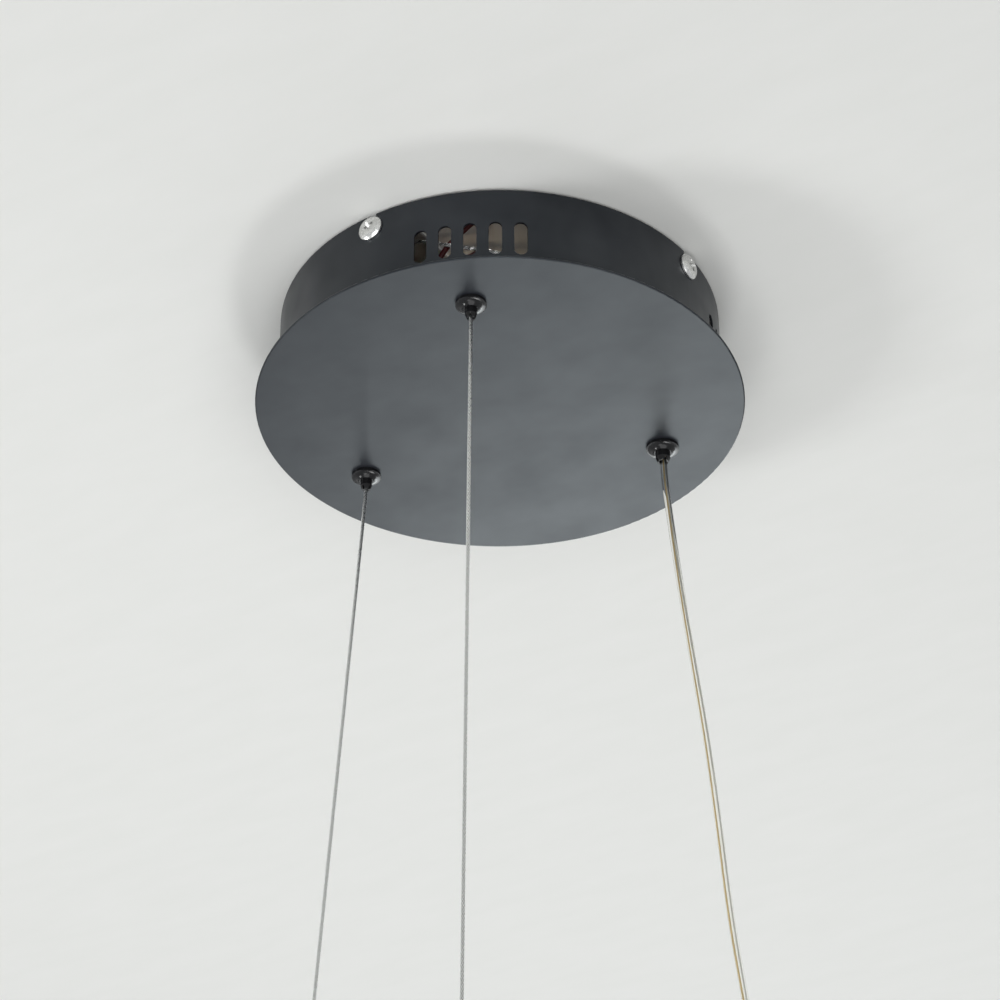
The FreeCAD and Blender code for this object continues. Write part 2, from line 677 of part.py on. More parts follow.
def make_wires():
    """Mains wires from the block to the driver, and its two output leads."""
    end = DRIVER_L / 2
    inside = end - DRIVER_WALL
    live, neutral = mains_entries()
    starts = [V(way_x(k), -BLOCK_R - CLAMP_L / 2, BLOCK_MID_Z) for k in (2, 1)]
    tube("live_wire", [starts[0], starts[0] + V(0, -WIRE_RUN, 0),
                       front(-12.5, -59, -6.5), front(-5.5, -65, -5), front(1.2, -70.8, -3.2),
                       front(1.2, -76, -7.2), front(-5, -75.7, -12.4), front(-10.5, -75, -18),
                       front(-14, -72.5, -24.5), front(-12.5, -67, -31.5), front(2, -62.5, -33),
                       front(26, -58, -33), front(48, -44, -32.5), front(end + 13, -27, -31.5),
                       front(end + 16, -14.5, -31.2), front(end + 10.5, live[0] - 0.9, live[1]),
                       front(inside, live[0], live[1])], WIRE_D)
    tube("neutral_wire", [starts[1], starts[1] + V(0, -WIRE_RUN, 0),
                          front(-21, -54.5, -11), front(-13, -57, -16), front(5, -57, -18.5),
                          front(25, -52, -20), front(43, -42, -22), front(end + 5, -28, -24.3),
                          front(end + 12.5, -16, -26.3), front(end + 11, -5, neutral[1]),
                          front(end + 5, neutral[0] - 0.7, neutral[1]),
                          front(inside, neutral[0], neutral[1])], WIRE_D)
    left, _ = joint_block_faces()
    mid = DRIVER_TOP + JOINT_BLOCK_H / 2
    for name, (y, z), wander in zip(("positive_lead", "negative_lead"), output_entries(), (-2.5, 2.0)):
        tube(name, [front(-inside, y, z), front(-end - 7, y, z), front(-end - 14, y + wander, -24.5),
                    front(-end - 12, y + 1.3 * wander, -16.5), front(left + WIRE_SEAT - LEAD_RUN, y, mid),
                    front(left + WIRE_SEAT, y, mid)], LEAD_D)


def grip_sizes(line_d, angle):
    """Sizes and heights of one gripper, all built out from the line that it holds."""
    line_r = line_d / 2
    bore = line_r + LINE_CLEAR
    plunger_r = bore + NOZZLE_WALL
    collar_r = plunger_r + COLLAR_STEP
    seat_r = collar_r + SEAT_GAP
    top_r = seat_r + CONE_TAPER * CONE_H
    shank_r = top_r + SHANK_WALL
    floor = PLATE_Z + SEAT_RISE
    collar_top = floor + THREAD_FIT + COLLAR_T
    cosine = 1 / math.sqrt(1 + CONE_TAPER ** 2)
    room = seat_r - line_r - BALL_FIT + CONE_TAPER * (THREAD_FIT + COLLAR_T + BALL_FIT)
    ball_r = (cosine * room - BALL_FIT) / (1 + cosine - cosine * CONE_TAPER)
    return {
        "centre": polar(GLAND_R, FRONT_ANGLE + angle), "angle": FRONT_ANGLE + angle,
        "line_r": line_r, "bore": bore, "plunger_r": plunger_r, "guide_r": plunger_r + SLIDE_FIT,
        "collar_r": collar_r, "seat_r": seat_r, "top_r": top_r, "shank_r": shank_r,
        "hole_r": shank_r + HOLE_CLEAR, "flange_r": shank_r + HOLE_CLEAR + FLANGE_REST,
        "floor": floor, "collar_top": collar_top, "ball_r": ball_r,
        "ball_z": collar_top + BALL_FIT + ball_r, "cap": floor + CHAMBER_H,
        "top": floor + CHAMBER_H + CAP_T, "mouth": PLATE_Z - FLANGE_H, "tip": PLATE_Z - FLANGE_H - NOZZLE_L,
    }


def make_gripper(name, g):
    centre = g["centre"]
    land = g["guide_r"] + MOUTH_LAND
    rim = PLATE_Z - FLANGE_RIM_H
    body = revolved([(g["guide_r"], g["mouth"]), (g["guide_r"], g["floor"]), (g["seat_r"], g["floor"]),
                     (g["top_r"], g["floor"] + CONE_H), (g["top_r"], g["top"]), (g["shank_r"], g["top"]),
                     (g["shank_r"], PLATE_Z), (g["flange_r"], PLATE_Z), (g["flange_r"], rim),
                     dome_arc(g["flange_r"], rim, land, g["mouth"], -FLANGE_BULGE)])
    save(name + "_gripper_body", at(body, centre))

    tip_r = g["bore"] + TIP_WALL
    plunger = revolved([(g["bore"], g["tip"]), (g["bore"], g["collar_top"]), (g["collar_r"], g["collar_top"]),
                        (g["collar_r"], g["floor"] + THREAD_FIT), (g["plunger_r"], g["floor"] + THREAD_FIT),
                        (g["plunger_r"], g["tip"] + NOZZLE_TAPER_H), (tip_r, g["tip"])])
    half = TIP_SLOT_W / 2
    for turn in (0, 90):
        slot = box(-g["collar_r"], g["collar_r"], -half, half, g["tip"], g["tip"] + TIP_SLOT_H)
        plunger = plunger.cut(around(slot, turn + g["angle"]))
    save(name + "_plunger", at(plunger, centre))

    circle_r = g["line_r"] + BALL_FIT + g["ball_r"]
    balls = [Part.makeSphere(g["ball_r"], polar(circle_r, k * 360 / BALL_COUNT, g["ball_z"]) + centre)
             for k in range(BALL_COUNT)]
    save(name + "_balls", Part.makeCompound(balls))

    low = g["ball_z"] + g["ball_r"] + BALL_FIT
    save(name + "_spring", coil(circle_r, SPRING_WIRE, low, g["cap"] - BALL_FIT, SPRING_TURNS, centre))
    save(name + "_gripper_cap", ring(g["top_r"] - THREAD_FIT, g["bore"], g["cap"], g["top"], centre))


def gland_nut_width(g):
    return 2 * (g["shank_r"] + GLAND_NUT_WALL)


def make_gland_fasteners():
    washers = []
    nuts = []
    for g in GRIPS.values():
        across = gland_nut_width(g)
        seat = PLATE_TOP + GLAND_WASHER_T
        washers.append(ring(across / 2, g["hole_r"], PLATE_TOP, seat, g["centre"]))
        nut = hexagon(across, seat, seat + GLAND_NUT_H, g["centre"], g["angle"])
        nuts.append(nut.cut(disc(g["shank_r"] + THREAD_FIT, seat, seat + GLAND_NUT_H, g["centre"])))
    save("gland_washers", Part.makeCompound(washers))
    save("gland_nuts", Part.makeCompound(nuts))


def along(shape, place, heading):
    """Shape built down -Z from the origin, laid along heading from place."""
    shape.Placement = FreeCAD.Placement(place, FreeCAD.Rotation(V(0, 0, -1), heading))
    return shape


def make_rope(name, g, lean):
    """Free stretch of one steel rope, with the ferrule and threaded socket on its end."""
    centre = g["centre"]
    heading = front(lean, 0, -1).normalize()
    bend = V(centre.x, centre.y, g["tip"] - BEND_DROP)
    socket_place = bend + heading * ((bend.z - FITTING_Z) / -heading.z)
    end = socket_place + heading * (SOCKET_TOP_T + THREAD_FIT + FERRULE_L)
    tube(name + "_rope", [V(centre.x, centre.y, g["cap"]), bend, end], ROPE_D, BEND_R)

    stud_r = SOCKET_STUD_D / 2
    room_r = stud_r - SOCKET_STUD_WALL
    barrel_r = stud_r + SOCKET_SHOULDER
    groove = barrel_r - SOCKET_GROOVE
    step = SOCKET_L / SOCKET_BANDS
    profile = [(g["bore"], 0), (barrel_r - step / 2, 0), (barrel_r, -step / 2)]
    for k in range(1, SOCKET_BANDS - 1, 2):
        profile += [(barrel_r, -k * step), (groove, -(k + 0.25) * step), (groove, -(k + 0.75) * step)]
        profile += [(barrel_r, -(k + 1) * step)]
    profile += [(barrel_r, -SOCKET_L), (stud_r, -SOCKET_L), (stud_r, -SOCKET_L - SOCKET_STUD_L)]
    profile += [(room_r, -SOCKET_L - SOCKET_STUD_L), (room_r, -SOCKET_TOP_T), (g["bore"], -SOCKET_TOP_T)]
    save(name + "_rope_socket", along(revolved(profile), socket_place, heading))
    top = -SOCKET_TOP_T - THREAD_FIT
    ferrule = ring(room_r - FERRULE_GAP, g["line_r"] + CRIMP_FIT, top - FERRULE_L, top)
    save(name + "_rope_ferrule", along(ferrule, socket_place, heading))


def make_cord(g):
    """Free stretch of the power cord and the barrel plug on its end."""
    centre = g["centre"]
    start = V(centre.x, centre.y, g["cap"])
    x, y = GLAND_R * math.sin(math.radians(CORD)), -GLAND_R * math.cos(math.radians(CORD))
    places = [(0.0, 0.0, -53.5), (1.3, 0.1, -70), (3.9, 0.5, -101), (8.2, 0.8, -142), (12.9, 0.3, -184),
              (16.1, -0.5, -224), (18.8, -0.8, -264), (23.6, -0.3, -304)]
    points = [start] + [front(x + dx, y + dy, z) for dx, dy, z in places]
    relief_top = front(x + 26.6, y, PLUG_Z)
    heading = (relief_top - points[-1]).normalize()
    points.append(relief_top + heading * CORD_IN_PLUG)
    tube("power_cord", points, CORD_D)

    bore = g["line_r"] + CRIMP_FIT
    relief_r = bore + RELIEF_WALL
    barrel_r = BARREL_D / 2
    seat = -RELIEF_L - GRIP_L
    profile = [(bore, 0), (relief_r, 0)]
    step = RELIEF_L / RELIEF_RINGS
    grow = (GRIP_R - relief_r) * 0.7 / RELIEF_RINGS
    for k in range(RELIEF_RINGS):
        crest = relief_r + grow * (k + 1)
        root = crest - RELIEF_STEP
        profile += [(crest, -(k + 0.7) * step), (root, -(k + 0.7) * step), (root, -(k + 1) * step)]
    profile += [(GRIP_R, -RELIEF_L - RELIEF_BLEND), (GRIP_R, seat + GRIP_EDGE), (GRIP_R - GRIP_EDGE, seat)]
    root_r = barrel_r - BARREL_STEP
    profile += [(root_r, seat), (root_r, seat + BARREL_SEAT), (0, seat + BARREL_SEAT)]
    profile += [(0, -CORD_IN_PLUG), (bore, -CORD_IN_PLUG)]
    save("cord_plug_body", along(revolved(profile), relief_top, heading))
    end = seat - BARREL_L + PLUG_TIP_L
    barrel = ring(barrel_r, BARREL_BORE_D / 2, end, seat)
    barrel = barrel.fuse(ring(barrel_r - BARREL_STEP, BARREL_BORE_D / 2, seat, seat + BARREL_SEAT))
    save("cord_plug_barrel", along(barrel, relief_top, heading))
    tip = ring(barrel_r, BARREL_BORE_D / 2, seat - BARREL_L, end)
    save("cord_plug_tip", along(tip, relief_top, heading))


def make_tails():
    """Spare ends of the ropes and of the cord inside the can."""
    g = GRIPS["front"]
    rise = V(0, 0, CAP_T + TAIL_RISE)
    start = V(g["centre"].x, g["centre"].y, g["cap"])
    front_tail = [start, start + V(0, 0, TAIL_RISE), front(-7.5, -64.5, -18.3), front(-23, -57.5, -19),
                  front(-41, -53, -22), front(-54, -47.5, -26.5)]
    tube("front_rope_tail", front_tail, ROPE_D)

    start = V(GRIPS["left"]["centre"].x, GRIPS["left"]["centre"].y, g["cap"])
    spots = [(76.5, -107, -13), (79, -90, -12.6), (79, -70, -13.2), (79, -50, -11.5), (79, -30, -8.5),
             (79.3, -15, -11.8), (79.5, -4, -19.4), (79.5, 8.5, -23.6), (79, 17, -28.4)]
    left_tail = [start, start + rise] + [polar(r, FRONT_ANGLE + a, z) for r, a, z in spots]
    tube("left_rope_tail", left_tail, ROPE_D)

    sleeves = []
    for points in (front_tail, left_tail):
        heading = (points[-1] - points[-2]).normalize()
        bore = ROPE_D / 2 + CRIMP_FIT
        sleeve = ring(bore + TAIL_SLEEVE_WALL, bore, -TAIL_SLEEVE_L, 0)
        sleeves.append(along(sleeve, points[-1] - heading * (TAIL_SLEEVE_L - TAIL_SLEEVE_PAST), heading))
    save("tail_sleeves", Part.makeCompound(sleeves))

    g = GRIPS["cord"]
    start = V(g["centre"].x, g["centre"].y, g["cap"])
    _, right = joint_block_faces()
    mid = DRIVER_TOP + JOINT_BLOCK_H / 2
    tube("power_cord_tail", [start, start + rise, front(48, 27, -11), front(28, 14, -12.5), front(6, 2, -14),
                             front(right - WIRE_SEAT + LEAD_RUN, DRIVER_Y, mid),
                             front(right - WIRE_SEAT, DRIVER_Y, mid)], CORD_D)


GRIPS = {
    "front": grip_sizes(ROPE_D, FRONT),
    "left": grip_sizes(ROPE_D, LEFT),
    "cord": grip_sizes(CORD_D, CORD),
}

os.makedirs("parts", exist_ok=True)
make_plate()
make_shell()
make_plate_studs()
make_bracket()
make_canopy_screws()
make_terminal_block()
make_earth()
make_driver()
make_joint_block()
make_wires()
for grip_name, grip in GRIPS.items():
    make_gripper(grip_name, grip)
make_gland_fasteners()
make_rope("front", GRIPS["front"], FRONT_LEAN)
make_rope("left", GRIPS["left"], LEFT_LEAN)
make_cord(GRIPS["cord"])
make_tails()
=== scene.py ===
import json
import math

import bpy
from mathutils import Matrix, Vector


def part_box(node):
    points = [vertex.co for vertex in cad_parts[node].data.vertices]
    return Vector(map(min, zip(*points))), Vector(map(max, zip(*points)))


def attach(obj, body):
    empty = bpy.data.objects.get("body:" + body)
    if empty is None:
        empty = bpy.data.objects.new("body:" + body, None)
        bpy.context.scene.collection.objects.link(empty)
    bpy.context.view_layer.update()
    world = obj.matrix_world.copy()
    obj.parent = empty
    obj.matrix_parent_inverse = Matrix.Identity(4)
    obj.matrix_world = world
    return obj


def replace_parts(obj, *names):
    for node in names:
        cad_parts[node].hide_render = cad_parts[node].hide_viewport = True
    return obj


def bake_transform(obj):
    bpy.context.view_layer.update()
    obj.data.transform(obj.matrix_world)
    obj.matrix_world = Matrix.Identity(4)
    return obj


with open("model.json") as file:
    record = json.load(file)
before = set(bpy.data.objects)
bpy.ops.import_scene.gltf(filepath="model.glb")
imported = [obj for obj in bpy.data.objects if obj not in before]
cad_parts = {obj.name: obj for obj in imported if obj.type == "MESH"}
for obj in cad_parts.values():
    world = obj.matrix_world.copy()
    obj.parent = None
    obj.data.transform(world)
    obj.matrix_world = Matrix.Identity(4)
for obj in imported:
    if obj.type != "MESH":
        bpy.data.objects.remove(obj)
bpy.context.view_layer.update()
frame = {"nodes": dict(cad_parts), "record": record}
NODES = frame["nodes"]
MM = 0.001

# The canopy's own axes are turned about Z from the frame's axes by this angle.
FRONT_ANGLE = math.radians(25)

# Diameters of the lines, in metres
ROPE_D = 1.5 * MM
CORD_D = 2.8 * MM
WIRE_D = 2.2 * MM
LEAD_D = 1.6 * MM
SPRING_WIRE = 0.44 * MM

# Rope: strands twisted about a core
STRANDS = 6
STRAND_R = ROPE_D / 6
ROPE_LAY = 10 * MM
ROPE_STEP = 0.5 * MM
ROPE_STRAIGHT = 6 * ROPE_D

# Cord: two conductors that twist slowly inside a clear sheath
CORE_R = 0.24 * MM
CORE_OFFSET = 0.5 * MM
CORE_LAY = 700 * MM
CORE_PHASE = math.radians(-80)
CORD_STEP = 2.0 * MM

# Single wires and leads, and the springs of the grippers
WIRE_STEP = 1.5 * MM
SPRING_TURNS = 4
SPRING_STEPS = 32

# Sides of the round tubes, and points between two control points of a line
CORE_STRAND_SIDES = 6
STRAND_SIDES = 8
SPRING_SIDES = 8
CORE_SIDES = 12
WIRE_SIDES = 16
SHEATH_SIDES = 24
LINE_STEPS = 96

# Real lengths of the front and left rope tails, in metres
FRONT_TAIL_LENGTH = 0.070
LEFT_TAIL_LENGTH = 0.201

# Free lines: lean of each rope along the canopy's X, and heights
FRONT_LEAN = -0.0094
LEFT_LEAN = -0.066
BEND_DROP = 0.8 * MM
FITTING_Z = -348 * MM
FERRULE_END = 10.05 * MM
TAIL_RISE = {"front": 11.0, "left": 13.0, "cord": 13.0}

# Driver, joint block and terminal block, in millimetres in the canopy's own axes
DRIVER_END = 50.0
DRIVER_IN = 48.4
LIVE_ENTRY = (-8.0, -31.3)
NEUTRAL_ENTRY = (0.0, -26.9)
OUTPUT_Y = {"positive_lead": -8.0, "negative_lead": 0.0}
OUTPUT_WANDER = {"positive_lead": -2.5, "negative_lead": 2.0}
OUTPUT_Z = -30.8
JOINT_LEFT, JOINT_RIGHT, JOINT_Z = -42.0, -22.0, -14.8
DRIVER_Y = -4.0
WIRE_RUN, LEAD_RUN, WIRE_SEAT = 7.5, 14.5, 3.0
CLAMP_X = {"live_wire": 10.0, "neutral_wire": 0.0, "earth_wire": -10.0}
CLAMP_Y, CLAMP_Z = -46.0, -8.0
LUG_END = (-5.0, -67.0, -3.1)
NEUTRAL_HELD_X = -21.0


def front(x, y, z):
    """Point given in millimetres in the canopy's own axes, as metres in the frame's axes."""
    return Matrix.Rotation(FRONT_ANGLE, 3, "Z") @ Vector((x, y, z)) * MM


def around(radius, angle, z):
    """Point by its radius, its angle from the front gland and its height."""
    a = math.radians(angle)
    return front(radius * math.sin(a), -radius * math.cos(a), z)


def row(x, y, z):
    """Point given in millimetres in the frame's axes."""
    return Vector((x, y, z)) * MM


def middle(name):
    """Middle of a CAD node's box."""
    low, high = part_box(name)
    return (Vector(low) + Vector(high)) / 2


def over(place, z):
    """The same place in plan, at another height."""
    return Vector((place.x, place.y, z))


# Routes


def rope_route(name, lean):
    centre = middle(name + "_gripper_body")
    bend = over(centre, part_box(name + "_plunger")[0][2] - BEND_DROP)
    heading = front(lean, 0, -1).normalized()
    socket = bend + heading * ((bend.z - FITTING_Z) / -heading.z)
    start = over(centre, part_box(name + "_gripper_cap")[0][2])
    return [start, bend, bend + heading * ROPE_STRAIGHT, socket + heading * FERRULE_END]


def cord_route():
    centre = middle("cord_gripper_body")
    start = over(centre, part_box("cord_gripper_cap")[0][2])
    steps = [(0.0, 0.0, -53.5), (1.3, 0.1, -70), (3.9, 0.5, -101), (8.2, 0.8, -142), (12.9, 0.3, -184),
             (16.1, -0.5, -224), (18.8, -0.8, -264), (23.6, -0.3, -304), (27.6, 0.1, -344)]
    return [start] + [over(centre, 0) + front(*step) for step in steps]


def tail_start(name):
    centre = middle(name + "_gripper_body")
    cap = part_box(name + "_gripper_cap")[0][2]
    return [over(centre, cap), over(centre, cap + TAIL_RISE[name] * MM)]


def front_tail_route():
    return tail_start("front") + [front(-7.5, -64.5, -18.3), front(-23, -57.5, -19), front(-41, -53, -22),
                                  front(-54, -47.5, -26.5)]


def left_tail_route():
    spots = [(76.5, -107, -13), (79, -90, -12.6), (79, -70, -13.2), (79, -50, -11.5), (79, -30, -8.5),
             (79.3, -15, -10.6), (79.5, -4, -18.4), (79.5, 8.5, -22.9), (79.25, 12.75, -26), (79, 17, -28.4)]
    return tail_start("left") + [around(*spot) for spot in spots]


def cord_tail_route():
    mouth = JOINT_RIGHT - WIRE_SEAT
    return tail_start("cord") + [front(48, 27, -11), front(28, 14, -12.5), front(6, 2, -14),
                                 front(mouth + LEAD_RUN, DRIVER_Y, JOINT_Z), front(mouth, DRIVER_Y, JOINT_Z)]


def clamp_start(name):
    return [row(CLAMP_X[name], CLAMP_Y, CLAMP_Z), row(CLAMP_X[name], CLAMP_Y - WIRE_RUN, CLAMP_Z)]


def live_route():
    y, z = LIVE_ENTRY
    return clamp_start("live_wire") + [
        front(-15, -59, -9.2), front(-8.5, -63.5, -11.2), front(0, -62, -10.5), front(6.2, -67.5, -4.5),
        front(5.2, -77.6, -2), front(-6.2, -75.9, -11.8), front(-11.2, -75, -17.7),
        front(-14.4, -72.5, -24.3), front(-12.5, -67, -31.5), front(2, -62.5, -33), front(26, -58, -33),
        front(48, -44, -32.5), front(DRIVER_END + 13, -27, -31.5), front(DRIVER_END + 16, -14.5, -31.2),
        front(DRIVER_END + 10.5, y - 0.9, z), front(DRIVER_IN, y, z)]


def neutral_route():
    y, z = NEUTRAL_ENTRY
    return clamp_start("neutral_wire") + [
        front(-21, -54.5, -11), front(-13, -57, -16), front(5, -57, -18.5), front(25, -52, -20),
        front(43, -42, -22), front(DRIVER_END + 5, -28, -24.3), front(DRIVER_END + 12.5, -16, -26.3),
        front(DRIVER_END + 11, -5, z), front(DRIVER_END + 5, y - 0.7, z), front(DRIVER_IN, y, z)]


def earth_route():
    x, y, z = LUG_END
    return clamp_start("earth_wire") + [row(x, y + 0.9 * WIRE_RUN, z), row(x, y, z)]


def lead_route(name):
    y, wander = OUTPUT_Y[name], OUTPUT_WANDER[name]
    mouth = JOINT_LEFT + WIRE_SEAT
    return [front(-DRIVER_IN, y, OUTPUT_Z), front(-DRIVER_END - 7, y, OUTPUT_Z),
            front(-DRIVER_END - 14, y + wander, -24.5), front(-DRIVER_END - 12, y + 1.3 * wander, -16.5),
            front(mouth - LEAD_RUN, y, JOINT_Z), front(mouth, y, JOINT_Z)]


# Geometry along a line


def link(obj):
    bpy.context.scene.collection.objects.link(obj)
    return obj


def spline_points(points):
    """Points of the smooth NURBS line that has a route's points as its control points."""
    data = bpy.data.curves.new("route", "CURVE")
    data.dimensions = "3D"
    data.resolution_u = LINE_STEPS
    line = data.splines.new("NURBS")
    line.points.add(len(points) - 1)
    for knot, point in zip(line.points, points):
        knot.co = (*point, 1)
    line.order_u = 3
    line.use_endpoint_u = True
    obj = link(bpy.data.objects.new("route", data))
    mesh = bpy.data.meshes.new_from_object(obj)
    path = [v.co.copy() for v in mesh.vertices]
    bpy.data.objects.remove(obj)
    bpy.data.curves.remove(data)
    bpy.data.meshes.remove(mesh)
    return path


def evenly(path, step):
    """The same line with its points about one step apart."""
    gaps = [(b - a).length for a, b in zip(path, path[1:])]
    count = max(2, round(sum(gaps) / step))
    share = sum(gaps) / count
    result, walked, k = [path[0].copy()], 0.0, 0
    for n in range(1, count):
        while walked + gaps[k] < n * share:
            walked += gaps[k]
            k += 1
        result.append(path[k].lerp(path[k + 1], (n * share - walked) / gaps[k]))
    return result + [path[-1].copy()]


def line_frames(path):
    """Distance, centre and two crosswise directions at each point, without added twist."""
    side = (path[1] - path[0]).orthogonal().normalized()
    frames, walked = [], 0.0
    for i, place in enumerate(path):
        ahead = (path[min(i + 1, len(path) - 1)] - path[max(i - 1, 0)]).normalized()
        side = (side - ahead * side.dot(ahead)).normalized()
        if i:
            walked += (place - path[i - 1]).length
        frames.append((walked, place, side, ahead.cross(side)))
    return frames


def tube_part(frames, radius, sides, offset=0.0, lay=1.0, phase=0.0):
    """Vertices, faces and UVs of one round tube that runs along a line, or winds about it."""
    verts, faces, uvs = [], [], []
    for walked, place, across, up in frames:
        turn = phase + 2 * math.pi * walked / lay
        centre = place + (across * math.cos(turn) + up * math.sin(turn)) * offset
        for k in range(sides):
            a = 2 * math.pi * k / sides
            verts.append(centre + (across * math.cos(a) + up * math.sin(a)) * radius)
    for i in range(len(frames) - 1):
        for k in range(sides):
            n = (k + 1) % sides
            faces.append((i * sides + k, i * sides + n, (i + 1) * sides + n, (i + 1) * sides + k))
            s0, s1 = frames[i][0], frames[i + 1][0]
            v0, v1 = k / sides, (k + 1) / sides
            uvs.append(((s0, v0), (s0, v1), (s1, v1), (s1, v0)))
    last = (len(frames) - 1) * sides
    faces.append(tuple(reversed(range(sides))))
    uvs.append(((0, 0),) * sides)
    faces.append(tuple(range(last, last + sides)))
    uvs.append(((0, 0),) * sides)
    return verts, faces, uvs


def crowns(frames, verts):
    """How far each vertex stands out from the line's middle."""
    sides = len(verts) // len(frames)
    return [(v - frames[i // sides][1]).length for i, v in enumerate(verts)]


def line_mesh(name, parts, material, outward=None):
    """One smooth mesh piece from tube parts."""
    verts, faces, uvs = [], [], []
    for part_verts, part_faces, part_uvs in parts:
        base = len(verts)
        verts += part_verts
        faces += [tuple(base + i for i in face) for face in part_faces]
        uvs += part_uvs
    mesh = bpy.data.meshes.new(name)
    mesh.from_pydata(verts, [], faces)
    if outward:
        mesh.attributes.new("outward", "FLOAT", "POINT").data.foreach_set("value", outward)
    layer = mesh.uv_layers.new(name="along")
    for face, corners in zip(mesh.polygons, uvs):
        face.use_smooth = True
        for loop, uv in zip(face.loop_indices, corners):
            layer.data[loop].uv = uv
    mesh.materials.append(material)
    return link(bpy.data.objects.new(name, mesh))


def rope_piece(name, path):
    """Twisted strands about a middle one, with how far each point stands out kept as the mask of the finish's
    painted groove shade.
    """
    frames = line_frames(evenly(path, ROPE_STEP))
    parts = [tube_part(frames, STRAND_R, CORE_STRAND_SIDES)]
    for k in range(STRANDS):
        phase = 2 * math.pi * k / STRANDS
        parts.append(tube_part(frames, STRAND_R, STRAND_SIDES, 2 * STRAND_R, ROPE_LAY, phase))
    outward = [share / (ROPE_D / 2) for part in parts for share in crowns(frames, part[0])]
    return line_mesh(name, parts, wire_rope(), outward)


def plain_piece(name, path, diameter, material):
    """Insulated wire of one diameter."""
    part = tube_part(line_frames(evenly(path, WIRE_STEP)), diameter / 2, WIRE_SIDES)
    return line_mesh(name, [part], material)


def sheathed_pieces(sheath_name, core_name, path, phase):
    """Clear sheath and its two conductors, all riding the canopy."""
    frames = line_frames(evenly(path, CORD_STEP))
    part = tube_part(frames, CORD_D / 2, SHEATH_SIDES)
    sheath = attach(line_mesh(sheath_name, [part], clear_pvc()), "canopy")
    cores = []
    for metal, turn, material in (("copper", 0, copper_core()), ("tinned", math.pi, tinned_core())):
        part = tube_part(frames, CORE_R, CORE_SIDES, CORE_OFFSET, CORE_LAY, phase + turn)
        cores.append(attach(line_mesh(core_name + metal, [part], material), "canopy"))
    return sheath, cores


# Material nodes


def new_material(name, **sockets):
    """Material with its shader's fixed values set. One that exists already comes back without its nodes."""
    name += "_finish"
    mat = bpy.data.materials.get(name)
    if mat:
        return mat, None, None
    mat = bpy.data.materials.new(name)
    mat.use_nodes = True
    tree = mat.node_tree
    shader = tree.nodes["Principled BSDF"]
    for socket, value in sockets.items():
        shader.inputs[socket.replace("_", " ")].default_value = value
    return mat, tree, shader


def node(tree, kind, links=None, **values):
    """Shader node with its settings, socket values and incoming links."""
    made = tree.nodes.new("ShaderNode" + kind)
    for key, value in values.items():
        if hasattr(made, key):
            setattr(made, key, value)
        else:
            made.inputs[key.replace("_", " ")].default_value = value
    for socket, source in (links or {}).items():
        tree.links.new(source, made.inputs[socket])
    return made


def noise(tree, scale, detail=3.0, stretch=(1, 1, 1)):
    """Noise in the object's own space, with scale in features per metre."""
    place = node(tree, "TexCoord").outputs["Object"]
    mapped = node(tree, "Mapping", {"Vector": place}, Scale=stretch).outputs["Vector"]
    return node(tree, "TexNoise", {"Vector": mapped}, Scale=scale, Detail=detail).outputs["Fac"]


def ranged(tree, value, low, high, start=0.3, stop=0.7):
    """The value's range from start to stop, as one from low to high."""
    made = node(tree, "MapRange", {"Value": value}, From_Min=start, From_Max=stop, To_Min=low, To_Max=high)
    return made.outputs["Result"]


def coloured(tree, shader, value, dark, light, start=0.3, stop=0.7):
    """The shader's own colour runs from dark to light along a value."""
    made = node(tree, "ValToRGB", {"Fac": value})
    made.color_ramp.elements[0].position = start
    made.color_ramp.elements[0].color = (*dark, 1)
    made.color_ramp.elements[1].position = stop
    made.color_ramp.elements[1].color = (*light, 1)
    tree.links.new(made.outputs["Color"], shader.inputs["Base Color"])


def bumped(tree, shader, height, distance, strength=0.6):
    """The shader's relief follows a height."""
    made = node(tree, "Bump", {"Height": height}, Strength=strength, Distance=distance)
    tree.links.new(made.outputs["Normal"], shader.inputs["Normal"])


def twisted(tree, lay, wires):
    """Ridges of wires that wind along a tube: lay in turns per metre, wires round the tube."""
    uv = node(tree, "TexCoord").outputs["UV"]
    parts = node(tree, "SeparateXYZ", {"Vector": uv})
    along = node(tree, "Math", {0: parts.outputs["X"]}, operation="MULTIPLY")
    along.inputs[1].default_value = lay
    count = node(tree, "Math", {0: parts.outputs["Y"], 2: along.outputs[0]}, operation="MULTIPLY_ADD")
    count.inputs[1].default_value = wires
    turn = node(tree, "Math", {0: count.outputs[0]}, operation="MULTIPLY")
    turn.inputs[1].default_value = 2 * math.pi
    return node(tree, "Math", {0: turn.outputs[0]}, operation="SINE").outputs[0]


def surface(name, dark, light, clouds, rough, grain, depth, stretch=(1, 1, 1), **sockets):
    """Material with cloudy colour, uneven roughness and a fine grain in relief."""
    mat, tree, shader = new_material(name, **sockets)
    if tree:
        cloud = noise(tree, clouds)
        coloured(tree, shader, cloud, dark, light)
        patches = noise(tree, clouds * 4, 4.0, stretch)
        tree.links.new(ranged(tree, patches, *rough), shader.inputs["Roughness"])
        bumped(tree, shader, noise(tree, grain, 2.0, stretch), depth)
    return mat


# Materials


def satin_black():
    """Powder coat with soft clouds of lighter and darker grey."""
    mat, tree, shader = new_material("satin_black", IOR=1.45, Specular_Tint=(0.86, 0.955, 1.0, 1.0))
    if tree:
        cloud = noise(tree, 42, 2.0, (1, 1.2, 1))
        coloured(tree, shader, cloud, (0.0020, 0.0024, 0.0055), (0.0160, 0.0170, 0.0215), 0.25, 0.75)
        tree.links.new(ranged(tree, cloud, 0.44, 0.33, 0.25, 0.75), shader.inputs["Roughness"])
        bumped(tree, shader, noise(tree, 3200, 2.0), 0.01 * MM, 0.2)
    return mat


